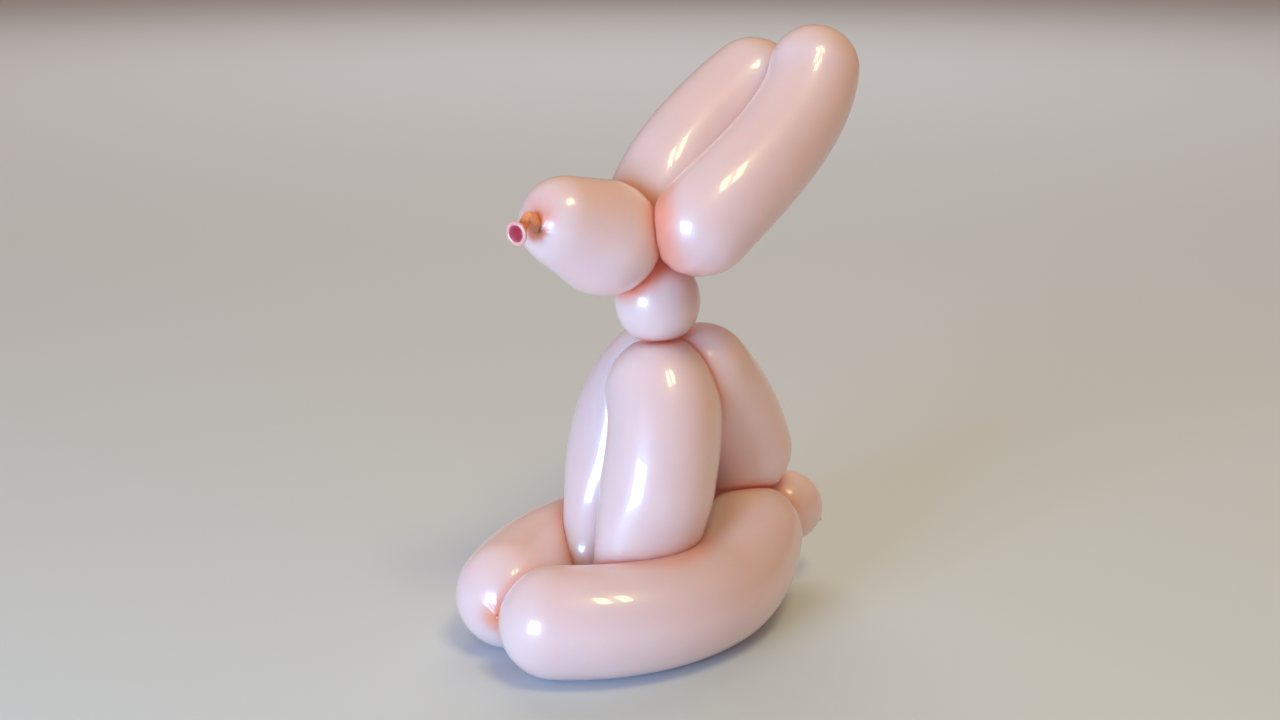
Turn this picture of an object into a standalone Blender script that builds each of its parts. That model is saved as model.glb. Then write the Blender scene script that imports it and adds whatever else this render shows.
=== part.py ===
# A sitting rabbit twisted from one long balloon, in metres, facing -Y with +Z up.
# The balloon runs nose, head, ear, ear, neck, front leg, front leg, body, hind leg, hind leg, tail.
# Each bubble runs from twist to twist along a curved spine, and all of them are one closed skin.

from collections import namedtuple
from math import cos, pi, radians, sin, sqrt

import bmesh
import bpy
from mathutils import Matrix, Vector

# Girth of each bubble, measured across
HEAD_GIRTH = 0.0478
EAR_GIRTH = 0.0466
NECK_GIRTH = 0.0402
FRONT_GIRTH = 0.0528
BODY_GIRTH = 0.0508
HIND_GIRTH = 0.0516
TAIL_GIRTH = 0.0364

# Bunched latex at a twist, and the small flat that closes each bubble on its axis
TWIST_WIDTH = 0.0180
POLE_WIDTH = 0.0030

# Where the twists sit: the toes, paws and rump stand over the table, the rest follows them
TOES_X = 0.0048
TOES_Y = -0.0850
PAWS_Y = -0.0178
PAWS_LIFT = 0.0010
RUMP = Vector((-0.0034, 0.0661, 0.0505))
SHOULDERS = Vector((0.0011, 0.0118, 0.1385))
NECK_LENGTH = 0.0436
NECK_LEAN = radians(12)
HEAD_LENGTH = 0.0630
HEAD_LIFT = radians(19)
EAR_REACH = 0.1080
EAR_LEAN = radians(39.4)
TAIL_LENGTH = 0.0415
TAIL_DROP = radians(27)
TAIL_TURN = radians(14)
NECK_BOW = Vector((-0.0020, -0.0030, 0))

# The head is egg-shaped: this share wider at the back and narrower at the nose
HEAD_TAPER = 0.10

# The hind legs lie on the table up to here, and then rise to the rump
REST_PRESS = 0.0008
RISE_SHARE = 0.42

# Knot and nozzle that make the nose
KNOT_WIDTH = 0.0075
STEM_WIDTH = 0.0050
STEM_LENGTH = 0.0140
LIP_WIDTH = 0.0110
LIP_ROLL = 0.0028
MOUTH_DEPTH = 0.0030
NOZZLE_TURN = radians(13)
NOZZLE_DROP = radians(10)

# Nib at the closed end of the balloon, on the tail
NIB_WIDTH = 0.0050
NIB_LENGTH = 0.0035

# Facets: rings along a rounded end, spacing of the rings between, sides = 4 + 2 * resolution
END_RINGS = 6
RING_STEP = 0.0110
BUBBLE_RESOLUTION = 7
NOZZLE_RESOLUTION = 4
SPINE_STEPS = 240

Bubble = namedtuple("Bubble", "name girth start leave arrive end taper rise", defaults=(0, 0))


def swing(length, lift):
    """A forward step of this length, raised by the angle lift."""
    return Vector((0, -length * cos(lift), length * sin(lift)))


HEAD_TWIST = SHOULDERS + swing(NECK_LENGTH, pi / 2 - NECK_LEAN)
NOSE = HEAD_TWIST + swing(HEAD_LENGTH, HEAD_LIFT)
EAR_TIPS = HEAD_TWIST + swing(EAR_REACH, pi / 2 + EAR_LEAN)
TAIL_END = RUMP + Matrix.Rotation(-TAIL_TURN, 3, "Z") @ swing(TAIL_LENGTH, pi + TAIL_DROP)
REST_HEIGHT = HIND_GIRTH / 2 - REST_PRESS
TOES = Vector((TOES_X, TOES_Y, REST_HEIGHT))
PAWS = Vector((0, PAWS_Y, FRONT_GIRTH / 2 + PAWS_LIFT))


def bubbles():
    """The ten bubbles: the handles bow each spine, the paired ones out to both sides."""
    ear = EAR_GIRTH
    front = FRONT_GIRTH
    loop = (HIND_GIRTH + FRONT_GIRTH) / 2
    along_neck = (HEAD_TWIST - SHOULDERS) / 3
    along_tail = (TAIL_END - RUMP) / 3
    return (
        Bubble("head", HEAD_GIRTH, HEAD_TWIST, Vector((-0.0110, -0.0220, 0.0050)),
               Vector((-0.0150, 0.0300, -0.0030)), NOSE, taper=HEAD_TAPER),
        Bubble("near_ear", EAR_GIRTH, HEAD_TWIST, Vector((0.96 * ear, 0.0205, 0.0257)),
               Vector((0.32 * ear, 0.0480, 0.0098)), EAR_TIPS),
        Bubble("far_ear", EAR_GIRTH, HEAD_TWIST, Vector((-0.96 * ear, 0.0118, 0.0318)),
               Vector((-0.21 * ear, 0.0264, 0.0021)), EAR_TIPS),
        Bubble("neck", NECK_GIRTH, SHOULDERS, along_neck + NECK_BOW, NECK_BOW - along_neck, HEAD_TWIST),
        Bubble("near_front_leg", FRONT_GIRTH, SHOULDERS, Vector((0.42 * front, -0.0265, -0.0277)),
               Vector((0.77 * front, 0.0102, 0.0401)), PAWS),
        Bubble("far_front_leg", FRONT_GIRTH, SHOULDERS, Vector((-0.42 * front, -0.0060, -0.0340)),
               Vector((-0.78 * front, 0.0172, 0.0388)), PAWS),
        Bubble("body", BODY_GIRTH, SHOULDERS, Vector((0.0034, 0.0295, -0.0318)),
               Vector((-0.0051, -0.0065, 0.0402)), RUMP),
        Bubble("near_hind_leg", HIND_GIRTH, RUMP, Vector((0.89 * loop, -0.0298, 0)),
               Vector((1.19 * loop, 0.0508, 0)), TOES, rise=RISE_SHARE),
        Bubble("far_hind_leg", HIND_GIRTH, RUMP, Vector((-1.06 * loop, -0.0282, 0)),
               Vector((-1.37 * loop, 0.0543, 0)), TOES, rise=RISE_SHARE),
        Bubble("tail", TAIL_GIRTH, RUMP, along_tail, -along_tail, TAIL_END),
    )


def spine_points(bubble):
    """Fine points along a bubble's spine: a cubic curve, flat over the table where a leg lies."""
    points = []
    for step in range(SPINE_STEPS + 1):
        t = step / SPINE_STEPS
        s = 1 - t
        point = (bubble.start * s**3 + (bubble.start + bubble.leave) * (3 * s * s * t)
                 + (bubble.end + bubble.arrive) * (3 * s * t * t) + bubble.end * t**3)
        if bubble.rise:
            risen = max(0, 1 - t / bubble.rise) ** 2
            point.z = REST_HEIGHT + (RUMP.z - REST_HEIGHT) * risen
        points.append(point)
    return points


def point_at(points, lengths, distance):
    """The point of a polyline at this distance from its start."""
    for i in range(1, len(points)):
        if lengths[i] >= distance:
            share = (distance - lengths[i - 1]) / (lengths[i] - lengths[i - 1])
            return points[i - 1].lerp(points[i], share)
    return points[-1]


def ring_centre(points, lengths, distance, end_length):
    """The ring's centre: on the spine between the two rounded ends, and straight on within them."""
    inner = min(max(distance, end_length), lengths[-1] - end_length)
    step = lengths[-1] / SPINE_STEPS
    heading = point_at(points, lengths, inner + step) - point_at(points, lengths, inner - step)
    return point_at(points, lengths, inner) + heading.normalized() * (distance - inner)


def ring_distances(length, end_length):
    """Where the rings sit: close together on the rounded ends, evenly spaced between them."""
    pole = POLE_WIDTH / 2 / end_length
    rounded = [end_length * (1 - sqrt(1 - pole * pole))]
    for ring in range(1, END_RINGS + 1):
        rounded.append(end_length * (1 - cos(pi / 2 * ring / END_RINGS)))
    straight = length - 2 * end_length
    spaces = max(1, round(straight / RING_STEP))
    between = [end_length + straight * i / spaces for i in range(1, spaces)]
    back = [length - distance for distance in reversed(rounded)]
    if straight < RING_STEP / 4:
        back = back[1:]
    return rounded + between + back


def bubble_rings(bubble):
    """Centre and radius of every ring of a bubble, from its start twist to its end twist."""
    points = spine_points(bubble)
    lengths = [0.0]
    for a, b in zip(points, points[1:]):
        lengths.append(lengths[-1] + (b - a).length)
    length = lengths[-1]
    end_length = min(bubble.girth / 2, length / 2)
    rings = []
    for distance in ring_distances(length, end_length):
        from_end = min(distance, length - distance, end_length) / end_length
        round_share = sqrt(1 - (1 - from_end) ** 2)
        taper = 1 + bubble.taper * (1 - 2 * distance / length)
        radius = bubble.girth / 2 * round_share * taper
        rings.append((ring_centre(points, lengths, distance, end_length), radius))
    return rings


def new_material(name, colour, roughness):
    """A plain non-metal material."""
    material = bpy.data.materials.new(name)
    material.use_nodes = True
    shader = material.node_tree.nodes["Principled BSDF"]
    shader.inputs["Base Color"].default_value = (*colour, 1)
    shader.inputs["Roughness"].default_value = roughness
    shader.inputs["Metallic"].default_value = 0
    return material


def new_object(name, mesh, collection, figure):
    """An object of this mesh that stands in the figure."""
    piece = bpy.data.objects.new(name, mesh)
    piece.parent = figure
    collection.objects.link(piece)
    return piece


def tube(name, rings, resolution, collection, figure):
    """A closed tube through the rings, each one a centre and a radius, as a mesh object."""
    curve = bpy.data.curves.new(name, "CURVE")
    curve.dimensions = "3D"
    curve.bevel_depth = 1.0
    curve.bevel_resolution = resolution
    curve.use_fill_caps = True
    spline = curve.splines.new("POLY")
    spline.points.add(len(rings) - 1)
    for point, (centre, radius) in zip(spline.points, rings):
        point.co = (*centre, 1)
        point.radius = radius
    guide = bpy.data.objects.new(name + "_guide", curve)
    collection.objects.link(guide)
    mesh = bpy.data.meshes.new_from_object(guide.evaluated_get(bpy.context.evaluated_depsgraph_get()))
    skin = bmesh.new()
    skin.from_mesh(mesh)
    bmesh.ops.remove_doubles(skin, verts=skin.verts, dist=0.00001)
    skin.to_mesh(mesh)
    skin.free()
    mesh.shade_smooth()
    piece = new_object(name, mesh, collection, figure)
    piece.matrix_world = guide.matrix_world
    bpy.data.objects.remove(guide)
    bpy.data.curves.remove(curve)
    return piece


def ball(name, centre, width, collection, figure):
    """A faceted ball, such as the bunched latex of a twist."""
    mesh = bpy.data.meshes.new(name)
    skin = bmesh.new()
    bmesh.ops.create_icosphere(skin, subdivisions=2, radius=width / 2)
    skin.to_mesh(mesh)
    skin.free()
    piece = new_object(name, mesh, collection, figure)
    piece.location = centre
    return piece


def nozzle(collection, figure):
    """Knot, stem and rolled lip with its mouth, one turned piece that points forward from the nose."""
    knot = KNOT_WIDTH / 2
    stem = STEM_WIDTH / 2
    roll = LIP_ROLL / 2
    lip = LIP_WIDTH / 2
    mouth = lip - LIP_ROLL
    profile = [(0, STEM_LENGTH - MOUTH_DEPTH), (mouth * 0.8, STEM_LENGTH - MOUTH_DEPTH)]
    for turn in (150, 110, 70, 30, -10, -50):
        angle = radians(turn)
        profile.append((lip - roll + roll * cos(angle), STEM_LENGTH + roll * sin(angle)))
    profile += [(stem, STEM_LENGTH - lip), (stem, knot * 0.9), (knot * 0.9, knot * 0.5), (knot, 0),
                (knot * 0.9, -knot * 0.5), (knot * 0.6, -knot), (0, -knot)]
    piece = turned("nozzle", profile, collection, figure)
    piece.location = NOSE
    forward = Vector((sin(NOZZLE_TURN), -cos(NOZZLE_TURN), -sin(NOZZLE_DROP)))
    piece.rotation_euler = forward.to_track_quat("Z", "Y").to_euler()
    return piece


def turned(name, profile, collection, figure):
    """A turned solid about its own Z, from a profile of radius and height that runs top to bottom."""
    mesh = bpy.data.meshes.new(name)
    outline = bmesh.new()
    points = [outline.verts.new((radius, 0, height)) for radius, height in profile]
    for upper, lower in zip(points, points[1:]):
        outline.edges.new((upper, lower))
    outline.to_mesh(mesh)
    outline.free()
    piece = new_object(name, mesh, collection, figure)
    screw = piece.modifiers.new("turn", "SCREW")
    screw.steps = 4 + 2 * NOZZLE_RESOLUTION
    screw.render_steps = screw.steps
    screw.use_merge_vertices = True
    screw.merge_threshold = 0.00001
    return piece


def nib(collection, figure):
    """The small thick-skinned teat at the closed end of the balloon."""
    out = (TAIL_END - RUMP).normalized()
    half = NIB_WIDTH / 2
    rings = [(TAIL_END - out * NIB_WIDTH, half), (TAIL_END + out * (NIB_LENGTH - half), half)]
    for angle in (30, 60, 80):
        along = NIB_LENGTH - half + half * sin(radians(angle))
        rings.append((TAIL_END + out * along, half * cos(radians(angle))))
    return tube("nib", rings, NOZZLE_RESOLUTION, collection, figure)


def table_cutter(collection, figure):
    """A block below the table top, which flattens the hind legs where they rest."""
    block = 2 * (TAIL_END.y - TOES_Y)
    mesh = bpy.data.meshes.new("table_cutter")
    skin = bmesh.new()
    bmesh.ops.create_cube(skin, size=block)
    skin.to_mesh(mesh)
    skin.free()
    cutter = new_object("table_cutter", mesh, collection, figure)
    cutter.location = (0, 0, -block / 2)
    return cutter


def add_boolean(piece, operation, cutter=None, cutters=None):
    """An exact Boolean with one object or with all objects of a collection."""
    modifier = piece.modifiers.new(operation.lower(), "BOOLEAN")
    modifier.operation = operation
    modifier.solver = "EXACT"
    if cutters:
        modifier.operand_type = "COLLECTION"
        modifier.collection = cutters
    else:
        modifier.object = cutter


def hide_cutter(piece):
    """Show a cutter as a wire, and keep it out of the render."""
    piece.hide_render = True
    piece.display_type = "WIRE"


def build_rabbit():
    """The whole balloon as one solid, with its bounding box centred over the origin."""
    parts = bpy.data.collections.new("balloon_rabbit")
    joined = bpy.data.collections.new("joined_bubbles")
    cutters = bpy.data.collections.new("cutters")
    for collection in (parts, joined, cutters):
        bpy.context.scene.collection.children.link(collection)
    figure = bpy.data.objects.new("figure", None)
    parts.objects.link(figure)

    rabbit = None
    for bubble in bubbles():
        home = parts if bubble.name == "body" else joined
        piece = tube(bubble.name, bubble_rings(bubble), BUBBLE_RESOLUTION, home, figure)
        if bubble.name == "body":
            rabbit = piece
    for name, twist in (("rump_twist", RUMP), ("shoulder_twist", SHOULDERS), ("head_twist", HEAD_TWIST)):
        ball(name, twist, TWIST_WIDTH, joined, figure)
    nozzle(joined, figure)
    nib(joined, figure)
    cutter = table_cutter(cutters, figure)
    for piece in (*joined.objects, cutter):
        hide_cutter(piece)

    rabbit.name = "balloon_rabbit"
    add_boolean(rabbit, "UNION", cutters=joined)
    add_boolean(rabbit, "DIFFERENCE", cutter=cutter)
    rabbit.data.materials.append(new_material("pearl_pink_latex", (0.87, 0.66, 0.66), 0.25))

    bpy.context.view_layer.update()
    solid = rabbit.evaluated_get(bpy.context.evaluated_depsgraph_get()).to_mesh()
    xs = [vertex.co.x for vertex in solid.vertices]
    ys = [vertex.co.y for vertex in solid.vertices]
    figure.location = (-(min(xs) + max(xs)) / 2, -(min(ys) + max(ys)) / 2, 0)


for old in list(bpy.data.objects):
    bpy.data.objects.remove(old)
build_rabbit()
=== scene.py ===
from math import cos, pi, radians, sin

import bpy
import numpy as np
from mathutils import Matrix, Vector


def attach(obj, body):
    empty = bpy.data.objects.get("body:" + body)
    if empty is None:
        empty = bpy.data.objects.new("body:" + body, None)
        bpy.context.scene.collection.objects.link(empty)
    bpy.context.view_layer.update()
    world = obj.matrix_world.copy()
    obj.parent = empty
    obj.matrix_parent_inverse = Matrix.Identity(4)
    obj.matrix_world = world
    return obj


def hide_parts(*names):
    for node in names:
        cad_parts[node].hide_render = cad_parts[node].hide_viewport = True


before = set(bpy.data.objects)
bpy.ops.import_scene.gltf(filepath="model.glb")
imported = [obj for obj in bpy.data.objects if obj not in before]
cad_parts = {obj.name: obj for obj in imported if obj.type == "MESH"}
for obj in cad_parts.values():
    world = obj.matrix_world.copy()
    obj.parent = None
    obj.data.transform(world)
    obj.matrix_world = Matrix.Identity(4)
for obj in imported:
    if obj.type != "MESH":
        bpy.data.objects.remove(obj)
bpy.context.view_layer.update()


# Camera
# It stands off the rabbit's left cheek, a little above the table, and looks slightly down,
# from about 0.7 m away.
CAMERA_AZIMUTH = radians(55.8)
CAMERA_ELEVATION = radians(15.8)
CAMERA_DISTANCE = 0.700
CAMERA_LENS = 42.5
LOOKED_AT = Vector((0.0022, -0.0109, 0.1318))

camera_back = Vector((sin(CAMERA_AZIMUTH) * cos(CAMERA_ELEVATION),
                      -cos(CAMERA_AZIMUTH) * cos(CAMERA_ELEVATION), sin(CAMERA_ELEVATION)))
camera_right = Vector((cos(CAMERA_AZIMUTH), sin(CAMERA_AZIMUTH), 0))
camera_up = camera_back.cross(camera_right)
camera = bpy.data.objects.new("camera", bpy.data.cameras.new("camera"))
camera.data.lens = CAMERA_LENS
camera.data.sensor_width = 36
camera.data.clip_start = 0.01
camera.matrix_world = Matrix.Translation(LOOKED_AT + camera_back * CAMERA_DISTANCE) @ Matrix(
    (camera_right, camera_up, camera_back)).transposed().to_4x4()
bpy.context.scene.collection.objects.link(camera)
bpy.context.scene.camera = camera


# Studio
# A pale matt table that runs far back, a cool window of two panes on the left of the view, a
# warm ceiling lamp of two tubes above the camera, a broad pale light over the table behind the
# figure, and a weak even light from all round.
TABLE_COLOUR = (0.68, 0.74, 0.79, 1)
TABLE_SIZE = 40.0
TABLE_ROUGHNESS = 0.75
WINDOW_LIGHT = {"towards": (-0.626, -0.134, 0.767), "distance": 1.3, "pane": (0.25, 0.46),
                "gap": 0.03, "colour": (0.38, 0.65, 1.0), "watts": 18}
LAMP_LIGHT = {"towards": (0.216, 0.734, 0.642), "distance": 1.4, "pane": (0.13, 0.34),
              "gap": 0.08, "colour": (1.0, 0.84, 0.36), "watts": 5.8}
BACK_LIGHT = {"place": (-2.60, 1.80, 3.20), "side": 4.0, "colour": (1.0, 0.97, 0.94), "watts": 82}
ROOM_COLOUR = (1.0, 0.69, 0.54, 1)
ROOM_STRENGTH = 0.29


def add_softbox(name, towards, distance, pane, gap, colour, watts):
    """Two panes of light, side by side, that shine from a direction given as right, up, back."""
    right, up, back = towards
    direction = (camera_right * right + camera_up * up + camera_back * back).normalized()
    turn = direction.to_track_quat("Z", "Y")
    for side in (-1, 1):
        light = bpy.data.lights.new(name, "AREA")
        light.shape = "RECTANGLE"
        light.size, light.size_y = pane
        light.color = colour
        light.energy = watts / 2
        softbox = bpy.data.objects.new(name, light)
        aside = turn @ Vector((side * (pane[0] + gap) / 2, 0, 0))
        softbox.location = LOOKED_AT + direction * distance + aside
        softbox.rotation_euler = turn.to_euler()
        softbox.visible_camera = False
        bpy.context.scene.collection.objects.link(softbox)


add_softbox("window_softbox", **WINDOW_LIGHT)
add_softbox("lamp_softbox", **LAMP_LIGHT)
back_light = bpy.data.lights.new("back_softbox", "AREA")
back_light.size = BACK_LIGHT["side"]
back_light.color = BACK_LIGHT["colour"]
back_light.energy = BACK_LIGHT["watts"]
back_softbox = bpy.data.objects.new("back_softbox", back_light)
back_softbox.location = BACK_LIGHT["place"]
back_softbox.visible_camera = False
back_softbox.visible_glossy = False
bpy.context.scene.collection.objects.link(back_softbox)
world = bpy.data.worlds.new("room")
world.use_nodes = True
world.node_tree.nodes["Background"].inputs["Color"].default_value = ROOM_COLOUR
world.node_tree.nodes["Background"].inputs["Strength"].default_value = ROOM_STRENGTH
bpy.context.scene.world = world
bpy.context.scene.view_settings.view_transform = "Standard"

table_material = bpy.data.materials.new("pale_table")
table_material.use_nodes = True
table_shader = table_material.node_tree.nodes["Principled BSDF"]
table_shader.inputs["Base Color"].default_value = TABLE_COLOUR
table_shader.inputs["Roughness"].default_value = TABLE_ROUGHNESS
half = TABLE_SIZE / 2
table_mesh = bpy.data.meshes.new("table")
table_corners = [(-half, -half, 0), (half, -half, 0), (half, half, 0), (-half, half, 0)]
table_mesh.from_pydata(table_corners, [], [(0, 1, 2, 3)])
table_mesh.materials.append(table_material)
table = bpy.data.objects.new("table", table_mesh)
bpy.context.scene.collection.objects.link(table)


# Latex
# Pearl pink balloon latex. Blown up tight it is pale and satin with a glossy skin, and it
# turns deep coral where it is wrung at a twist, at the knot and at the nib, and stays thick.
# Coral light and shade are painted into the creases between bubbles, standing in for light that
# comes through the skin and bounces between them.
BLOWN_PINK = (0.87, 0.645, 0.635, 1)
BLUSH = (0.86, 0.42, 0.36, 1)
CORAL = (0.93, 0.33, 0.13, 1)
DEEP_ROSE = (0.62, 0.10, 0.17, 1)
CORAL_STRETCH = 0.12
BLUSH_STRETCH = 0.55
# Painted light and shade: creases between bubbles are mixed toward this darker coral and emit faint
# coral light, standing in for light through the skins and bounced between bubbles.
PAINTED_CREASE_LIGHT_AND_SHADE = (0.84, 0.33, 0.23, 1)
PAINTED_CREASE_GLOW = (0.92, 0.42, 0.32)
PAINTED_GLOW_STRENGTH = 0.06
CLOUD_SCALE = 38
CLOUD_DETAIL = 3
CLOUD_SHADES = (0.95, 1.04)
GRAIN_SCALE = 900
GRAIN_DETAIL = 2
SATIN = (0.30, 0.40)
BUMP_STRENGTH = 0.02
BUMP_DEPTH = 0.0003
SCATTER_WEIGHT = 0.8
SCATTER_REACH = (1.0, 0.42, 0.32)
BLOWN_SCATTER = 0.022
UNBLOWN_SCATTER = 0.0015
SHINE = 0.8
SHINE_TINT = (0.93, 0.90, 1.0, 1)
GLOSS = 0.7
GLOSS_ROUGHNESS = 0.035
GLOSS_IOR = 1.5


def build_latex_look():
    """Shader nodes for the colour and grain that blown and unblown latex share, and painted
    creases.
    """
    look = bpy.data.node_groups.new("latex_look", "ShaderNodeTree")
    for name, kind in (("Place", "NodeSocketVector"), ("Stretch", "NodeSocketFloat"),
                       ("Painted Crease", "NodeSocketFloat")):
        look.interface.new_socket(name, in_out="INPUT", socket_type=kind)
    for name, kind in (("Colour", "NodeSocketColor"), ("Roughness", "NodeSocketFloat"),
                       ("Grain", "NodeSocketFloat"), ("Painted Glow", "NodeSocketColor")):
        look.interface.new_socket(name, in_out="OUTPUT", socket_type=kind)
    given = look.nodes.new("NodeGroupInput").outputs
    result = look.nodes.new("NodeGroupOutput").inputs

    # The less the skin is stretched, the deeper its colour, and coral light and shade are painted
    # into the creases
    pigment = look.nodes.new("ShaderNodeValToRGB")
    pigment.color_ramp.elements[0].color = DEEP_ROSE
    pigment.color_ramp.elements[1].color = BLOWN_PINK
    pigment.color_ramp.elements.new(CORAL_STRETCH).color = CORAL
    pigment.color_ramp.elements.new(BLUSH_STRETCH).color = BLUSH
    look.links.new(given["Stretch"], pigment.inputs["Fac"])
    crease_painted = look.nodes.new("ShaderNodeMix")
    crease_painted.data_type = "RGBA"
    crease_painted.inputs["B"].default_value = PAINTED_CREASE_LIGHT_AND_SHADE
    look.links.new(given["Painted Crease"], crease_painted.inputs["Factor"])
    look.links.new(pigment.outputs["Color"], crease_painted.inputs["A"])
    # The creases are painted as emitting coral light, as if lit through the skin.
    painted_glow = look.nodes.new("ShaderNodeVectorMath")
    painted_glow.operation = "SCALE"
    painted_glow.inputs["Vector"].default_value = PAINTED_CREASE_GLOW
    look.links.new(given["Painted Crease"], painted_glow.inputs["Scale"])
    look.links.new(painted_glow.outputs["Vector"], result["Painted Glow"])

    # Faint clouds in the colour, and a fine grain in the shine
    clouds = look.nodes.new("ShaderNodeTexNoise")
    clouds.inputs["Scale"].default_value = CLOUD_SCALE
    clouds.inputs["Detail"].default_value = CLOUD_DETAIL
    look.links.new(given["Place"], clouds.inputs["Vector"])
    shade = look.nodes.new("ShaderNodeMapRange")
    shade.inputs["To Min"].default_value, shade.inputs["To Max"].default_value = CLOUD_SHADES
    look.links.new(clouds.outputs["Fac"], shade.inputs["Value"])
    clouded = look.nodes.new("ShaderNodeVectorMath")
    clouded.operation = "SCALE"
    look.links.new(crease_painted.outputs["Result"], clouded.inputs["Vector"])
    look.links.new(shade.outputs["Result"], clouded.inputs["Scale"])
    look.links.new(clouded.outputs["Vector"], result["Colour"])
    grain = look.nodes.new("ShaderNodeTexNoise")
    grain.inputs["Scale"].default_value = GRAIN_SCALE
    grain.inputs["Detail"].default_value = GRAIN_DETAIL
    look.links.new(given["Place"], grain.inputs["Vector"])
    satin = look.nodes.new("ShaderNodeMapRange")
    satin.inputs["To Min"].default_value, satin.inputs["To Max"].default_value = SATIN
    look.links.new(grain.outputs["Fac"], satin.inputs["Value"])
    look.links.new(satin.outputs["Result"], result["Roughness"])
    look.links.new(grain.outputs["Fac"], result["Grain"])
    return look


def mix_latex(name, scatter):
    """Latex in which light scatters over the given distance."""
    material = bpy.data.materials.new(name)
    material.use_nodes = True
    nodes, links = material.node_tree.nodes, material.node_tree.links
    shader = nodes["Principled BSDF"]
    look = nodes.new("ShaderNodeGroup")
    look.node_tree = latex_look
    place = nodes.new("ShaderNodeTexCoord")
    links.new(place.outputs["Object"], look.inputs["Place"])
    for name_on_mesh, socket in (("stretch", "Stretch"), ("painted_crease", "Painted Crease")):
        attribute = nodes.new("ShaderNodeAttribute")
        attribute.attribute_name = name_on_mesh
        links.new(attribute.outputs["Fac"], look.inputs[socket])
    bump = nodes.new("ShaderNodeBump")
    bump.inputs["Strength"].default_value = BUMP_STRENGTH
    bump.inputs["Distance"].default_value = BUMP_DEPTH
    links.new(look.outputs["Grain"], bump.inputs["Height"])
    links.new(bump.outputs["Normal"], shader.inputs["Normal"])
    links.new(look.outputs["Colour"], shader.inputs["Base Color"])
    links.new(look.outputs["Roughness"], shader.inputs["Roughness"])
    # Painted light: creases emit faint coral light, as if lit through the skin.
    links.new(look.outputs["Painted Glow"], shader.inputs["Emission Color"])
    for socket, value in (("Emission Strength", PAINTED_GLOW_STRENGTH),
                          ("Subsurface Weight", SCATTER_WEIGHT),
                          ("Subsurface Radius", SCATTER_REACH),
                          ("Subsurface Scale", scatter),
                          ("Specular IOR Level", SHINE), ("Specular Tint", SHINE_TINT),
                          ("Coat Weight", GLOSS), ("Coat Roughness", GLOSS_ROUGHNESS),
                          ("Coat IOR", GLOSS_IOR)):
        shader.inputs[socket].default_value = value
    return material


latex_look = build_latex_look()
latex = mix_latex("pearl_pink_latex", BLOWN_SCATTER)
soft_latex = mix_latex("unblown_latex", UNBLOWN_SCATTER)


# One blown bubble
# A stretch of the latex tube between two twists, round in section. It follows a curved spine,
# closes with a round end at each twist, and is puckered where the twist wrings it.
BUBBLE_SIDES = 88
RING_SPACING = 0.0022
SPINE_STEPS = 160
PLEATS = 14
FOOT = 0.0010
WRUNG_REACH = 0.007
PLEAT_DEPTH = 0.05
ROUND_END_EXTRA = 0.57
BALL_LIMIT = 0.499
WELD_GAP = 0.000002


def link_terms(tree, node, terms):
    """Feed a node's inputs, in order, from sockets or plain numbers."""
    for socket, term in zip(node.inputs, terms):
        if isinstance(term, bpy.types.NodeSocket):
            tree.links.new(term, socket)
        elif term is not None:
            socket.default_value = term


def calc(tree, operation, *terms):
    """The result of a Math node."""
    node = tree.nodes.new("ShaderNodeMath")
    node.operation = operation
    link_terms(tree, node, terms)
    return node.outputs[0]


def vector_calc(tree, operation, *terms):
    """The result of a Vector Math node."""
    node = tree.nodes.new("ShaderNodeVectorMath")
    node.operation = operation
    link_terms(tree, node, terms)
    return node.outputs[0]


def scaled(tree, vector, factor):
    """A vector times a number."""
    node = tree.nodes.new("ShaderNodeVectorMath")
    node.operation = "SCALE"
    tree.links.new(vector, node.inputs["Vector"])
    tree.links.new(factor, node.inputs["Scale"])
    return node.outputs[0]


def limited(tree, value, low, high):
    """A value kept between two limits."""
    return calc(tree, "MINIMUM", calc(tree, "MAXIMUM", value, low), high)


def wrung_near(tree, distance, reach):
    """How strongly the twist wrings the skin: 1 at the twist, fading over the reach."""
    share = calc(tree, "DIVIDE", distance, reach)
    return calc(tree, "EXPONENT", calc(tree, "MULTIPLY", calc(tree, "MULTIPLY", share, share), -1))


def drawn_end(tree, along_skin, ball, foot, sweep):
    """A ball drawn out to its twist: the depth from the twist, and the radius there."""
    angle = limited(tree, calc(tree, "DIVIDE", along_skin, ball), 0, sweep)
    touching = calc(tree, "ARCCOSINE", calc(tree, "DIVIDE", ball, calc(tree, "ADD", ball, foot)))
    climb = calc(tree, "MINIMUM", calc(tree, "DIVIDE", angle, touching), 1)
    angle = calc(tree, "MAXIMUM", angle, touching)
    rise = calc(tree, "MULTIPLY", ball, calc(tree, "SUBTRACT", 1, calc(tree, "COSINE", angle)))
    radius = calc(tree, "MULTIPLY", ball, calc(tree, "SINE", angle))
    depth = calc(tree, "MULTIPLY", calc(tree, "ADD", foot, rise), climb)
    return depth, calc(tree, "MULTIPLY", radius, climb)


def spine_at(tree, spine, length):
    """Place, heading and side of the spine at a length along it."""
    node = tree.nodes.new("GeometryNodeSampleCurve")
    node.mode = "LENGTH"
    tree.links.new(spine, node.inputs["Curves"])
    if isinstance(length, bpy.types.NodeSocket):
        tree.links.new(length, node.inputs["Length"])
    else:
        node.inputs["Length"].default_value = length
    return node.outputs["Position"], node.outputs["Tangent"], node.outputs["Normal"]


def store(tree, geometry, name, kind, value):
    """Geometry with a named value on each of its points."""
    node = tree.nodes.new("GeometryNodeStoreNamedAttribute")
    node.data_type = kind
    node.inputs["Name"].default_value = name
    tree.links.new(geometry, node.inputs["Geometry"])
    tree.links.new(value, node.inputs["Value"])
    return node.outputs[0]


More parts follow.
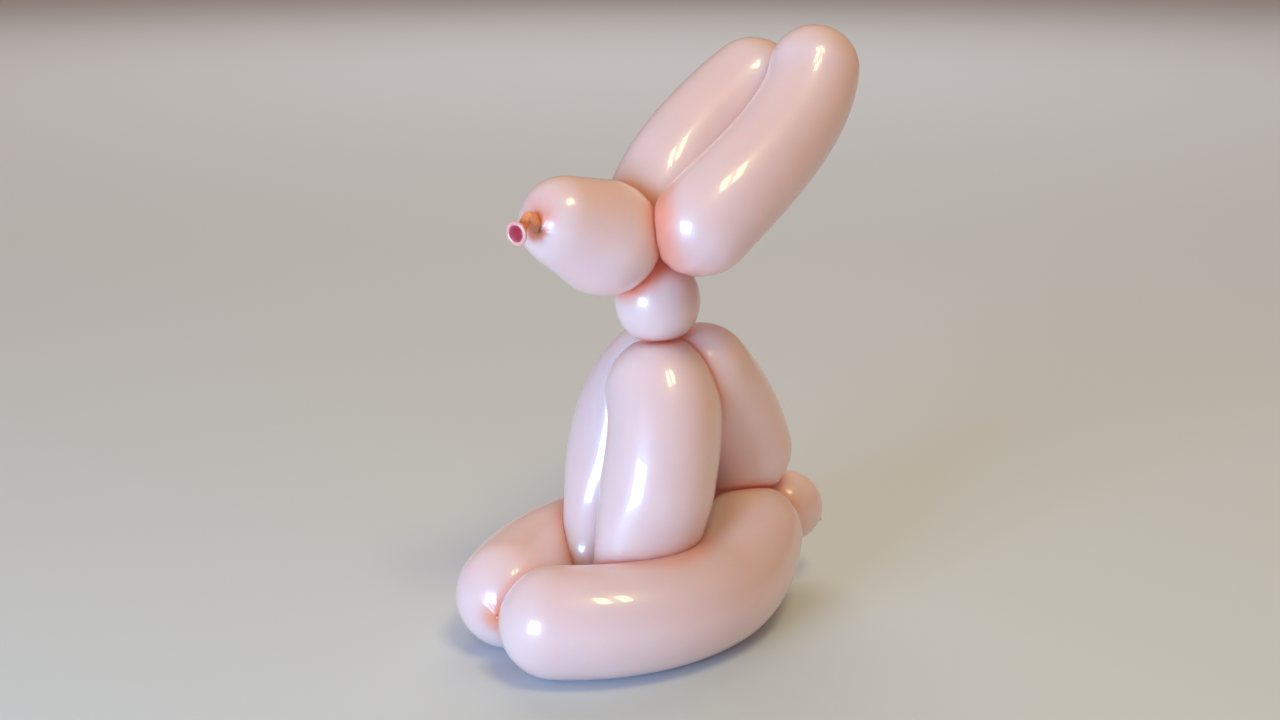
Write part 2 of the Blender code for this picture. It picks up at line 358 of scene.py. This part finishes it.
def build_bubble_tree():
    """Geometry nodes that blow one bubble along the spine curve they are put on."""
    tree = bpy.data.node_groups.new("blown_bubble", "GeometryNodeTree")
    sockets = tree.interface
    sockets.new_socket("Spine", in_out="INPUT", socket_type="NodeSocketGeometry")
    for name in ("Start Girth", "End Girth", "Start Foot", "End Foot", "Start Wrung", "End Wrung",
                 "Pleat Depth"):
        sockets.new_socket(name, in_out="INPUT", socket_type="NodeSocketFloat")
    for name in ("Sides", "Rings", "Pleats"):
        sockets.new_socket(name, in_out="INPUT", socket_type="NodeSocketInt")
    sockets.new_socket("Material", in_out="INPUT", socket_type="NodeSocketMaterial")
    sockets.new_socket("Skin", in_out="OUTPUT", socket_type="NodeSocketGeometry")
    given = tree.nodes.new("NodeGroupInput").outputs

    # The spine's length, the balls at its ends, the cone between them, and the length of the skin
    measure = tree.nodes.new("GeometryNodeCurveLength")
    tree.links.new(given["Spine"], measure.inputs[0])
    length = measure.outputs[0]
    start_foot, end_foot = given["Start Foot"], given["End Foot"]
    blown_length = calc(tree, "SUBTRACT", calc(tree, "SUBTRACT", length, start_foot), end_foot)
    most = calc(tree, "MULTIPLY", blown_length, BALL_LIMIT)
    start_ball = calc(tree, "MINIMUM", calc(tree, "MULTIPLY", given["Start Girth"], 0.5), most)
    end_ball = calc(tree, "MINIMUM", calc(tree, "MULTIPLY", given["End Girth"], 0.5), most)
    straight = calc(tree, "SUBTRACT", blown_length, calc(tree, "ADD", start_ball, end_ball))
    narrowing = calc(tree, "SUBTRACT", start_ball, end_ball)
    slope = calc(tree, "ARCSINE", calc(tree, "DIVIDE", narrowing, straight))
    start_sweep = calc(tree, "ADD", slope, pi / 2)
    end_sweep = calc(tree, "SUBTRACT", pi / 2, slope)
    start_arc = calc(tree, "MULTIPLY", start_ball, start_sweep)
    end_arc = calc(tree, "MULTIPLY", end_ball, end_sweep)
    slope_cosine = calc(tree, "COSINE", slope)
    slope_sine = calc(tree, "SINE", slope)
    cone = calc(tree, "MULTIPLY", straight, slope_cosine)
    skin_length = calc(tree, "ADD", cone, calc(tree, "ADD", start_arc, end_arc))

    # A flat sheet of points: its width runs around the bubble and its height along it
    sheet = tree.nodes.new("GeometryNodeMeshGrid")
    sheet.inputs["Size X"].default_value = 1
    sheet.inputs["Size Y"].default_value = 1
    tree.links.new(calc(tree, "ADD", given["Sides"], 1), sheet.inputs["Vertices X"])
    tree.links.new(given["Rings"], sheet.inputs["Vertices Y"])
    position = tree.nodes.new("GeometryNodeInputPosition")
    axes = tree.nodes.new("ShaderNodeSeparateXYZ")
    tree.links.new(position.outputs[0], axes.inputs[0])
    around = calc(tree, "MULTIPLY", calc(tree, "ADD", axes.outputs["X"], 0.5), -2 * pi)
    along_skin = calc(tree, "MULTIPLY", calc(tree, "ADD", axes.outputs["Y"], 0.5), skin_length)
    from_end = calc(tree, "SUBTRACT", skin_length, along_skin)

    # Each end is a ball, and a foot on it reaches to the twist
    start_depth, start_radius = drawn_end(tree, along_skin, start_ball, start_foot, start_sweep)
    end_depth, end_radius = drawn_end(tree, from_end, end_ball, end_foot, end_sweep)
    beside = limited(tree, calc(tree, "SUBTRACT", along_skin, start_arc), 0, cone)
    end_rise = calc(tree, "MULTIPLY", end_ball, calc(tree, "SUBTRACT", 1, slope_sine))
    end_rest = calc(tree, "ADD", end_foot, end_rise)
    beyond_start = calc(tree, "ADD", start_depth, calc(tree, "MULTIPLY", beside, slope_cosine))
    distance = calc(tree, "ADD", beyond_start, calc(tree, "SUBTRACT", end_rest, end_depth))
    narrowed = calc(tree, "SUBTRACT", start_radius, calc(tree, "MULTIPLY", beside, slope_sine))
    end_share = calc(tree, "DIVIDE", end_radius, calc(tree, "MULTIPLY", end_ball, slope_cosine))
    round_radius = calc(tree, "MULTIPLY", narrowed, end_share)
    share_along = calc(tree, "DIVIDE", beside, cone)
    widening = calc(tree, "SUBTRACT", end_ball, start_ball)
    ball_here = calc(tree, "ADD", start_ball, calc(tree, "MULTIPLY", share_along, widening))

    # The twist wrings the foot into pleats
    wrung = calc(tree, "MAXIMUM", wrung_near(tree, along_skin, given["Start Wrung"]),
                 wrung_near(tree, from_end, given["End Wrung"]))
    pleated = calc(tree, "COSINE", calc(tree, "MULTIPLY", around, given["Pleats"]))
    folds = calc(tree, "MULTIPLY", calc(tree, "MULTIPLY", pleated, given["Pleat Depth"]), wrung)
    radius = calc(tree, "MULTIPLY", round_radius, calc(tree, "ADD", folds, 1))

    # Place each ring on the spine. The ends run straight on from it, and lean over to the twists.
    first = calc(tree, "ADD", start_foot, start_ball)
    last = calc(tree, "ADD", first, straight)
    inner = calc(tree, "ADD", first, calc(tree, "MULTIPLY", share_along, straight))
    heart, heading, side = spine_at(tree, given["Spine"], inner)
    beyond = calc(tree, "SUBTRACT", distance, inner)
    centre = vector_calc(tree, "ADD", heart, scaled(tree, heading, beyond))
    across = vector_calc(tree, "CROSS_PRODUCT", heading, side)
    spoke = vector_calc(tree, "ADD", scaled(tree, side, calc(tree, "COSINE", around)),
                        scaled(tree, across, calc(tree, "SINE", around)))
    rim = vector_calc(tree, "ADD", centre, scaled(tree, spoke, radius))
    outward = vector_calc(tree, "SUBTRACT", rim, heart)
    start_width = calc(tree, "MULTIPLY", start_ball, slope_cosine)
    start_share = calc(tree, "DIVIDE", start_radius, start_width)
    for twist_length, joint_length, share in ((0.0, first, start_share), (length, last, end_share)):
        twist = spine_at(tree, given["Spine"], twist_length)[0]
        joint, joint_heading, _ = spine_at(tree, given["Spine"], joint_length)
        run = calc(tree, "SUBTRACT", twist_length, joint_length)
        straight_tip = vector_calc(tree, "ADD", joint, scaled(tree, joint_heading, run))
        lean = vector_calc(tree, "SUBTRACT", twist, straight_tip)
        pull = calc(tree, "MAXIMUM", calc(tree, "SUBTRACT", 1, share), 0)
        leaning = vector_calc(tree, "ADD", outward, scaled(tree, lean, pull))
        reach = tree.nodes.new("ShaderNodeVectorMath")
        reach.operation = "LENGTH"
        tree.links.new(outward, reach.inputs[0])
        outward = scaled(tree, vector_calc(tree, "NORMALIZE", leaning), reach.outputs["Value"])
    surface = vector_calc(tree, "ADD", heart, outward)

    # Keep the heart of each ring, its girth there, and how far the latex is stretched
    skin = store(tree, sheet.outputs["Mesh"], "heart", "FLOAT_VECTOR", heart)
    skin = store(tree, skin, "reach", "FLOAT", ball_here)
    skin = store(tree, skin, "stretch", "FLOAT", calc(tree, "SUBTRACT", 1, wrung))
    placed = tree.nodes.new("GeometryNodeSetPosition")
    tree.links.new(skin, placed.inputs["Geometry"])
    tree.links.new(surface, placed.inputs["Position"])
    closed = tree.nodes.new("GeometryNodeMergeByDistance")
    closed.inputs["Distance"].default_value = WELD_GAP
    tree.links.new(placed.outputs[0], closed.inputs["Geometry"])
    smooth = tree.nodes.new("GeometryNodeSetShadeSmooth")
    tree.links.new(closed.outputs[0], smooth.inputs["Geometry"])
    real = tree.nodes.new("GeometryNodeRealizeInstances")
    tree.links.new(smooth.outputs[0], real.inputs[0])
    coated = tree.nodes.new("GeometryNodeSetMaterial")
    tree.links.new(real.outputs[0], coated.inputs["Geometry"])
    tree.links.new(given["Material"], coated.inputs["Material"])
    result = tree.nodes.new("NodeGroupOutput")
    tree.links.new(coated.outputs[0], result.inputs[0])
    return tree


bubble_tree = build_bubble_tree()
bubble_skins = {}


def blow_bubble(name, girth, spine_points, **settings):
    """Blow one bubble along its spine and keep its skin as a plain mesh."""
    curve = bpy.data.curves.new(name, "CURVE")
    curve.dimensions = "3D"
    spline = curve.splines.new("POLY")
    spline.points.add(len(spine_points) - 1)
    for point, place_on_spine in zip(spline.points, spine_points):
        point.co = (*place_on_spine, 1)
    length = sum((b - a).length for a, b in zip(spine_points, spine_points[1:]))
    guide = bpy.data.objects.new(name + "_spine", curve)
    bpy.context.scene.collection.objects.link(guide)
    blowing = guide.modifiers.new("blow", "NODES")
    blowing.node_group = bubble_tree
    rings = round((length + girth * ROUND_END_EXTRA) / RING_SPACING)
    values = {"Start Girth": girth, "End Girth": girth, "Start Foot": FOOT, "End Foot": FOOT,
              "Start Wrung": WRUNG_REACH, "End Wrung": WRUNG_REACH, "Pleat Depth": PLEAT_DEPTH,
              "Pleats": PLEATS, "Sides": BUBBLE_SIDES, "Rings": rings, "Material": latex}
    values.update(settings)
    for socket in bubble_tree.interface.items_tree:
        if socket.in_out == "INPUT" and socket.name in values:
            blowing[socket.identifier] = values[socket.name]
    bpy.context.view_layer.update()
    blown = guide.evaluated_get(bpy.context.evaluated_depsgraph_get())
    mesh = bpy.data.meshes.new_from_object(blown)
    guide.modifiers.remove(blowing)
    bpy.data.objects.remove(guide)
    bpy.data.curves.remove(curve)
    bubble_skins[name] = mesh


def bowed_spine(start, leave, arrive, end):
    """Points of a cubic curve from start to end, bowed by a handle at each end."""
    points = []
    for step in range(SPINE_STEPS + 1):
        t = step / SPINE_STEPS
        s = 1 - t
        points.append(start * s**3 + (start + leave) * (3 * s * s * t)
                      + (end + arrive) * (3 * s * t * t) + end * t**3)
    return points


# Twists
# The balloon is wrung at seven places, where two to four bubbles meet: at the rump, shoulders
# and head, between the ear tips, the paws and the toes, and at the knot on the nose.
FIGURE_PLACE = Vector((0.0022, -0.0064, 0))


def on_figure(x, y, z):
    """A place on the figure, measured from the middle between its hind legs."""
    return FIGURE_PLACE + Vector((x, y, z))


RUMP = on_figure(-0.0034, 0.0661, 0.0505)
SHOULDERS = on_figure(0.0011, 0.0118, 0.1385)
HEAD_TWIST = on_figure(0.0025, 0.0063, 0.1807)
EAR_TIPS = on_figure(-0.0098, 0.0880, 0.2672)
PAWS = on_figure(-0.0025, -0.0199, 0.0250)
TOES = on_figure(0.0048, -0.0850, 0.0250)


# Head
# The first bubble after the knot, blown slack and egg-shaped: wide at the back of the head,
# narrower at the nose. The knot sits a little to the near side.
CROWN_GIRTH = 0.0522
NOSE_GIRTH = 0.0406
CROWN_BALL = on_figure(-0.0012, -0.0233, 0.1912)
NOSE_BALL = on_figure(0.0009, -0.0448, 0.2008)
NOSE_HEADING = Vector((0.499, -0.867, -0.013)).normalized()
TWIST_ROOM = 0.0005
NOSE = NOSE_BALL + NOSE_HEADING * (NOSE_GIRTH / 2 + TWIST_ROOM)
JOINT_RUN = 0.001
END_STEPS = 20


def blow_between_balls(name, girths, start_twist, start_ball, leave, arrive, end_ball, end_twist,
                       **settings):
    """Blow a bubble with its round ends about two given hearts, and a foot to each twist."""
    inner = bowed_spine(start_ball, leave, arrive, end_ball)
    corners = (inner[0] * 2 - inner[1], inner[-1] * 2 - inner[-2])
    ends, feet = [], []
    for heart, corner, twist, girth in ((inner[0], corners[0], start_twist, girths[0]),
                                        (inner[-1], corners[1], end_twist, girths[1])):
        corner = heart + (corner - heart).normalized() * JOINT_RUN
        to_twist = twist - corner
        run = max(to_twist.length, girth / 2 + TWIST_ROOM - JOINT_RUN)
        feet.append(run + JOINT_RUN - girth / 2)
        ends.append([corner + to_twist.normalized() * (run * step / END_STEPS)
                     for step in range(END_STEPS + 1)])
    blow_bubble(name, max(girths), ends[0][::-1] + inner + ends[1],
                **{"Start Girth": girths[0], "End Girth": girths[1],
                   "Start Foot": feet[0], "End Foot": feet[1]}, **settings)


to_nose = (NOSE_BALL - CROWN_BALL) / 3
# The deep coral around the knot reaches wide on the nose: partly the unstretched latex there,
# partly painted shade of the nozzle and knot.
blow_between_balls("head", (CROWN_GIRTH, NOSE_GIRTH), HEAD_TWIST, CROWN_BALL, to_nose, -to_nose,
                   NOSE_BALL, NOSE,
                   **{"Start Wrung": 0.010, "End Wrung": 0.0072, "Pleat Depth": 0.03})


# Ears
# Two equal bubbles laid back side by side. Both are twisted to the head at their foot and to
# each other at their tips, so they press together all along.
EAR_GIRTH = 0.0462
NEAR_EAR_TIP_GIRTH = 0.0424
FAR_EAR_TIP_GIRTH = 0.0458
EARS = {
    "near_ear": {"start_ball": on_figure(0.0278, 0.0103, 0.1983),
                 "leave": Vector((0.0041, 0.0202, 0.0184)),
                 "arrive": Vector((0.0078, -0.0106, -0.0245)),
                 "end_ball": on_figure(0.0125, 0.0847, 0.2604),
                 "girths": (EAR_GIRTH, NEAR_EAR_TIP_GIRTH)},
    "far_ear": {"start_ball": on_figure(-0.0112, 0.0130, 0.2037),
                "leave": Vector((-0.0034, 0.0120, 0.0190)),
                "arrive": Vector((-0.0020, -0.0156, -0.0100)),
                "end_ball": on_figure(-0.0223, 0.0756, 0.2514),
                "girths": (EAR_GIRTH, FAR_EAR_TIP_GIRTH)},
}
for name, ear in EARS.items():
    blow_between_balls(name, start_twist=HEAD_TWIST, end_twist=EAR_TIPS, **ear,
                       **{"Start Wrung": 0.014, "End Wrung": 0.009})


# Neck
# A short round bubble, squeezed between the head and the shoulders.
NECK_GIRTH = 0.0398
NECK_HEART = on_figure(-0.0001, 0.0053, 0.1590)
NECK_RUN = 0.0005
NECK_HANDLE = 0.6
neck_run = (HEAD_TWIST - SHOULDERS).normalized() * NECK_RUN
blow_between_balls("neck", (NECK_GIRTH, NECK_GIRTH), SHOULDERS, NECK_HEART - neck_run,
                   neck_run * NECK_HANDLE, neck_run * -NECK_HANDLE, NECK_HEART + neck_run,
                   HEAD_TWIST, **{"End Wrung": 0.008})


# Front legs
# Two straight bubbles pressed side by side. Their paws are held in the ring of the hind legs,
# just clear of the table.
FRONT_GIRTH = 0.0532
FRONT_LEGS = {
    "near_front_leg": {"start_ball": on_figure(0.0045, 0.0048, 0.1157),
                       "leave": Vector((0.0166, -0.0049, -0.0153)),
                       "arrive": Vector((0.0015, -0.0005, 0.0225)),
                       "end_ball": on_figure(0.0193, -0.0145, 0.0362)},
    "far_front_leg": {"start_ball": on_figure(-0.0194, 0.0195, 0.1171),
                      "leave": Vector((-0.0169, -0.0135, -0.0179)),
                      "arrive": Vector((-0.0109, 0.0114, 0.0250)),
                      "end_ball": on_figure(-0.0155, -0.0116, 0.0325)},
}
for name, leg in FRONT_LEGS.items():
    blow_between_balls(name, (FRONT_GIRTH, FRONT_GIRTH), start_twist=SHOULDERS, end_twist=PAWS,
                       **leg)


# Body
# One bubble that leans back from the shoulders to the rump behind the front legs.
BODY_GIRTH = 0.0503
BODY_LEAVE = Vector((0.0034, 0.0295, -0.0318))
BODY_ARRIVE = Vector((-0.0051, -0.0065, 0.0402))
blow_bubble("body", BODY_GIRTH, bowed_spine(SHOULDERS, BODY_LEAVE, BODY_ARRIVE, RUMP))


# Hind legs
# Two long bubbles bent into a ring on the table: they drop from the rump, lie on the table
# past both paws, and are twisted together at the toes.
HIND_GIRTH = 0.0509
REST_HEIGHT = 0.0250
RISE_SHARE = 0.42
RING_REACH = 0.0522
NEAR_BOW = (Vector((0.89 * RING_REACH, -0.0298, 0)), Vector((1.19 * RING_REACH, 0.0508, 0)))
FAR_BOW = (Vector((-1.058 * RING_REACH, -0.0282, 0)), Vector((-1.368 * RING_REACH, 0.0543, 0)))


def lying_spine(leave, arrive):
    """A spine from rump to toes that lies level over the table once it has come down to it."""
    points = bowed_spine(RUMP, leave, arrive, TOES)
    for step, point in enumerate(points):
        risen = max(0, 1 - step / SPINE_STEPS / RISE_SHARE) ** 2
        point.z = REST_HEIGHT + (RUMP.z - REST_HEIGHT) * risen
    return points


blow_bubble("near_hind_leg", HIND_GIRTH, lying_spine(*NEAR_BOW))
blow_bubble("far_hind_leg", HIND_GIRTH, lying_spine(*FAR_BOW))


# Tail
# The last, smallest bubble, with the closed end of the balloon as a small nib on it.
TAIL_GIRTH = 0.0360
TAIL_REACH = Vector((0.0089, 0.0359, -0.0188))
TAIL_END = RUMP + TAIL_REACH
along_tail = (TAIL_END - RUMP) / 3
blow_bubble("tail", TAIL_GIRTH, bowed_spine(RUMP, along_tail, -along_tail, TAIL_END),
            **{"Start Foot": 0.0030, "End Foot": 0.0012, "End Wrung": 0.0040})


# Nozzle
# The mouth of the balloon, left soft below the knot. The overhand knot is a small hard lump on
# the nose. The stem hooks over it and flares into a mouth with a rolled rim.
KNOT_SIZE = 0.0023
KNOT_LENGTH = 0.0018
KNOT_PLACE = Vector((-0.0030, -0.0004, 0.0010))
KNOT_STRETCH = 0.14
STEM_PATH = ((-0.0036, 0.0000, 0.0006), (-0.0023, -0.0018, 0.0038), (-0.0021, -0.0031, 0.0056),
             (-0.0025, -0.0045, 0.0062), (-0.0028, -0.0059, 0.0048), (-0.0027, -0.0072, 0.0027),
             (-0.0019, -0.0088, 0.0008))
STEM_RADII = (0.0026, 0.0024, 0.0023, 0.0022, 0.0021, 0.0020, 0.0021)
STEM_STEPS = 5
STEM_WRINKLES = 0.06
UNBLOWN_STRETCH = 0.12
MOUTH_PLACE = Vector((-0.0009, -0.0114, 0.0001))
MOUTH_HEADING = Vector((0.42, -1.09, -0.10)).normalized()
MOUTH_PROFILE = ((-0.0022, 0.0023), (-0.0014, 0.0030), (-0.0009, 0.0039), (-0.0008, 0.0047),
                 (-0.0003, 0.0053), (0.0004, 0.0054), (0.0009, 0.0049), (0.0009, 0.0041),
                 (0.0004, 0.0034), (-0.0006, 0.0027), (-0.0018, 0.0021), (-0.0032, 0.0016),
                 (-0.0044, 0.0011))
MOUTH_STEPS = 3
MOUTH_WRINKLES = 0.008
RIM_SHARE = 0.62
RIM_STRETCH = 0.62
RING_SIDES = 40
WRINKLES = 6
WRINKLE_TURN = 0.25
LUMP_STEPS = 12
LUMP_WRINKLES = 0.08


def skin_over_rings(name, rings):
    """A closed skin over rings, each given as heart, heading, radius, wrinkle depth and stretch."""
    vertices, faces, stretches = [], [], []
    side = rings[0][1].orthogonal().normalized()
    for number, (heart, heading, radius, wrinkle, stretched) in enumerate(rings):
        side = (side - heading * side.dot(heading)).normalized()
        across = heading.cross(side)
        for step in range(RING_SIDES):
            angle = 2 * pi * step / RING_SIDES
            reach = radius * (1 + wrinkle * cos(WRINKLES * angle + WRINKLE_TURN * number))
            vertices.append(heart + (side * cos(angle) + across * sin(angle)) * reach)
            stretches.append(stretched)
    for number in range(len(rings) - 1):
        for step in range(RING_SIDES):
            a = number * RING_SIDES + step
            b = number * RING_SIDES + (step + 1) % RING_SIDES
            faces.append((a, b, b + RING_SIDES, a + RING_SIDES))
    last = (len(rings) - 1) * RING_SIDES
    for ring, offset, turn in ((rings[0], 0, -1), (rings[-1], last, 1)):
        vertices.append(ring[0])
        stretches.append(ring[4])
        for step in range(RING_SIDES):
            face = (len(vertices) - 1, offset + step, offset + (step + 1) % RING_SIDES)
            faces.append(face[::turn])
    mesh = bpy.data.meshes.new(name)
    mesh.from_pydata(vertices, [], faces)
    mesh.attributes.new("stretch", "FLOAT", "POINT").data.foreach_set("value", stretches)
    mesh.materials.append(soft_latex)
    mesh.shade_smooth()
    return mesh


def eased(values, steps):
    """Values between the given ones, on a smooth curve through them."""
    padded = [values[0] * 2 - values[1], *values, values[-1] * 2 - values[-2]]
    result = []
    for a, b, c, d in zip(padded, padded[1:], padded[2:], padded[3:]):
        for step in range(steps):
            t = step / steps
            result.append((b * 2 + (c - a) * t + (a * 2 - b * 5 + c * 4 - d) * t * t
                           + (b * 3 - a - c * 3 + d) * t**3) * 0.5)
    return result + [values[-1]]


small_skins = []
stem_places = eased([NOSE + Vector(offset) for offset in STEM_PATH], STEM_STEPS)
stem_radii = eased(list(STEM_RADII), STEM_STEPS)
stem_rings = []
for number, (heart, radius) in enumerate(zip(stem_places, stem_radii)):
    ahead = stem_places[min(number + 1, len(stem_places) - 1)]
    behind = stem_places[max(number - 1, 0)]
    heading = (ahead - behind).normalized()
    if number == len(stem_places) - 1:
        heading = (heading + MOUTH_HEADING).normalized()
    stem_rings.append((heart, heading, radius, STEM_WRINKLES, UNBLOWN_STRETCH))
mouth_rings = eased([Vector(pair) for pair in MOUTH_PROFILE], MOUTH_STEPS)
for number, (depth, radius) in enumerate(mouth_rings):
    rolled = RIM_STRETCH if number < len(mouth_rings) * RIM_SHARE else 0.0
    heart = NOSE + MOUTH_PLACE + MOUTH_HEADING * depth
    stem_rings.append((heart, MOUTH_HEADING, radius, MOUTH_WRINKLES, rolled))
small_skins.append(skin_over_rings("nozzle", stem_rings))


def lump(name, heart, heading, size, length, stretched):
    """A small wrinkled lump of wrung latex."""
    rings = []
    for step in range(1, LUMP_STEPS):
        angle = pi * step / LUMP_STEPS
        place = heart - heading * (cos(angle) * length)
        rings.append((place, heading, size * sin(angle), LUMP_WRINKLES, stretched))
    return skin_over_rings(name, rings)


small_skins.append(lump("knot", NOSE + KNOT_PLACE, NOSE_HEADING, KNOT_SIZE, KNOT_LENGTH,
                        KNOT_STRETCH))


# Tail nib and twist cores
# The closed end of the balloon stays soft, and stands on the tail as a small nib. In each twist
# the latex of the bubbles is wrung to a thick short cord, which shows deep in the creases.
NIB_RADIUS = 0.0017
NIB_LENGTH = 0.0030
CORE_RADIUS = 0.0022
TOES_CORE_RADIUS = 0.0011
CORES = {"rump": (RUMP, CORE_RADIUS), "shoulders": (SHOULDERS, CORE_RADIUS),
         "head": (HEAD_TWIST, CORE_RADIUS), "ear_tips": (EAR_TIPS, CORE_RADIUS),
         "paws": (PAWS, CORE_RADIUS), "toes": (TOES, TOES_CORE_RADIUS)}
tail_heading = (TAIL_END - RUMP).normalized()
small_skins.append(lump("nib", TAIL_END, tail_heading, NIB_RADIUS, NIB_LENGTH, UNBLOWN_STRETCH))
for name, (twist, core) in CORES.items():
    small_skins.append(lump(name + "_twist", twist, Vector((0, 0, 1)), core, core,
                            UNBLOWN_STRETCH))


# Pressed bubbles
# Where two bubbles touch, the air in them shares the room: both skins flatten onto one face
# half-way, and each leaves it in a soft curve. The hind legs flatten on the table the same way.
# They clamp the paws between them, which narrow and give way to them, as the ears and the neck
# do to the head. Coral light and shade are painted along the creases between bubbles, reaching
# furthest where the near ear and the neck meet the head.
SOFT_EDGE = 0.12
PAW_SQUEEZE = 0.28
CLAMP_TOP = 0.078
CLAMP_BOTTOM = 0.045
CLAMPED = ("near_front_leg", "far_front_leg")
PAINTED_CREASE_MOST = 0.6
PAINTED_CREASE_WIDTH = 0.36
# The painted coral shade reaches wider on the near ear and the neck where they meet the head.
WIDE_PAINTED_CREASES = {"near_ear": (0.28, 0.80), "neck": (0.02, 0.38)}
UNPAINTED_CREASE_PAIRS = ({"near_ear", "far_ear"}, {"near_front_leg", "far_front_leg"})
HIND_LEGS = ("near_hind_leg", "far_hind_leg")
GIVES_WAY_TO = {"near_front_leg": HIND_LEGS, "far_front_leg": HIND_LEGS,
                "near_ear": ("head",), "far_ear": ("head",), "neck": ("head",)}
SUNK = 0.94
SEARCH_FROM = 0.3
SEARCH_STEPS = 14
DEEPEST = 0.02
HALVINGS = 9
SKIN_GAP = 0.0001
TABLE_GAP = 0.0001
LEAST_DROP = 0.001
FAR_OFF = 9.0


def read_values(mesh, name, width):
    """A named value of every point, or the points' places."""
    values = np.empty(len(mesh.vertices) * width)
    if name == "position":
        mesh.vertices.foreach_get("co", values)
    else:
        mesh.attributes[name].data.foreach_get("vector" if width == 3 else "value", values)
    return values.reshape(-1, width) if width > 1 else values


def depth_in(points, hearts, reaches):
    """How deep points lie in a bubble: 0 on its spine and 1 on its free skin."""
    depth = np.full(len(points), FAR_OFF)
    for heart, reach in zip(hearts, reaches):
        depth = np.minimum(depth, np.linalg.norm(points - heart, axis=1) / reach)
    return depth


def soft_least(a, b):
    """The smaller of two values, with a rounded change-over."""
    mix = np.clip(0.5 + 0.5 * (b - a) / SOFT_EDGE, 0, 1)
    return b + (a - b) * mix - SOFT_EDGE * mix * (1 - mix)


skins = {}
for name, mesh in bubble_skins.items():
    places = read_values(mesh, "position", 3)
    hearts = read_values(mesh, "heart", 3)
    reaches = read_values(mesh, "reach", 1)
    if name in CLAMPED:
        clamped = np.clip((CLAMP_TOP - hearts[:, 2]) / (CLAMP_TOP - CLAMP_BOTTOM), 0, 1)
        clamped = clamped * clamped * (3 - 2 * clamped)
        places[:, 0] = hearts[:, 0] + (places[:, 0] - hearts[:, 0]) * (1 - PAW_SQUEEZE * clamped)
    own = np.unique(np.round(np.column_stack([hearts, reaches]), 5), axis=0)
    skins[name] = (places, hearts, reaches, own[:, :3], own[:, 3])

for name, (places, hearts, reaches, _, _) in skins.items():
    share = np.ones(len(places))
    for other, (_, _, _, other_hearts, other_reaches) in skins.items():
        if other == name or name in GIVES_WAY_TO.get(other, ()):
            continue
        floor = SUNK if other in GIVES_WAY_TO.get(name, ()) else 0.0
        near = np.nonzero(depth_in(places, other_hearts, other_reaches) < 1 + 3 * SOFT_EDGE)[0]
        if len(near) == 0:
            continue
        heart = hearts[near]
        spoke = places[near] - heart
        gap = SKIN_GAP / reaches[near]

        def is_free(level):
            limit = np.maximum(level, floor)
            points = heart + spoke * level[:, None]
            return depth_in(points, other_hearts, other_reaches) - gap > limit

        top = 1 + 2 * SOFT_EDGE
        low = np.full(len(near), DEEPEST)
        high = np.full(len(near), top)
        open_so_far = np.ones(len(near), bool)
        for level in np.linspace(SEARCH_FROM, top, SEARCH_STEPS):
            free = is_free(np.full(len(near), level))
            low = np.where(open_so_far & free, level, low)
            high = np.where(open_so_far & ~free, level, high)
            open_so_far &= free
        for _ in range(HALVINGS):
            middle = (low + high) / 2
            free = is_free(middle) | open_so_far
            low = np.where(free, middle, low)
            high = np.where(free, high, middle)
        share[near] = soft_least(share[near], low)
    drop = hearts[:, 2] - places[:, 2]
    to_table = (hearts[:, 2] - TABLE_GAP) / np.maximum(drop, LEAST_DROP)
    over_table = np.where(drop > LEAST_DROP, to_table, FAR_OFF)
    share = np.where(over_table < 1 + 2 * SOFT_EDGE, np.minimum(share, over_table), share)
    pressed = hearts + (places - hearts) * share[:, None]
    # Painted light and shade: points near another bubble's skin are tinted coral and made to emit
    # light.
    painted_crease_share = np.zeros(len(places))
    for other, (_, _, _, other_hearts, other_reaches) in skins.items():
        if other != name and {name, other} not in UNPAINTED_CREASE_PAIRS:
            apart = depth_in(pressed, other_hearts, other_reaches) - 1
            if other == "head" and name in WIDE_PAINTED_CREASES:
                full, none = WIDE_PAINTED_CREASES[name]
                fade = np.clip((none - apart) / (none - full), 0, 1)
                painted_share = fade * fade * (3 - 2 * fade)
            else:
                painted_share = np.clip(1 - apart / PAINTED_CREASE_WIDTH, 0, 1) ** 2 * PAINTED_CREASE_MOST
            painted_crease_share = np.maximum(painted_crease_share, painted_share)
    mesh = bubble_skins[name]
    mesh.attributes.new("painted_crease", "FLOAT", "POINT").data.foreach_set("value", painted_crease_share)
    mesh.vertices.foreach_set("co", pressed.ravel())
    mesh.update()


# Balloon skin
# All bubbles are one skin of latex, so they go into one piece, which takes the place of the solid.
bubble_objects = []
for mesh in [*bubble_skins.values(), *small_skins]:
    for helper in ("heart", "reach"):
        if helper in mesh.attributes:
            mesh.attributes.remove(mesh.attributes[helper])
    bubble = bpy.data.objects.new(mesh.name, mesh)
    bpy.context.scene.collection.objects.link(bubble)
    bubble_objects.append(bubble)
with bpy.context.temp_override(active_object=bubble_objects[0],
                               selected_editable_objects=bubble_objects):
    bpy.ops.object.join()
balloon = bubble_objects[0]
balloon.name = "balloon_skin"
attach(balloon, "root")
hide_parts("balloon_rabbit")
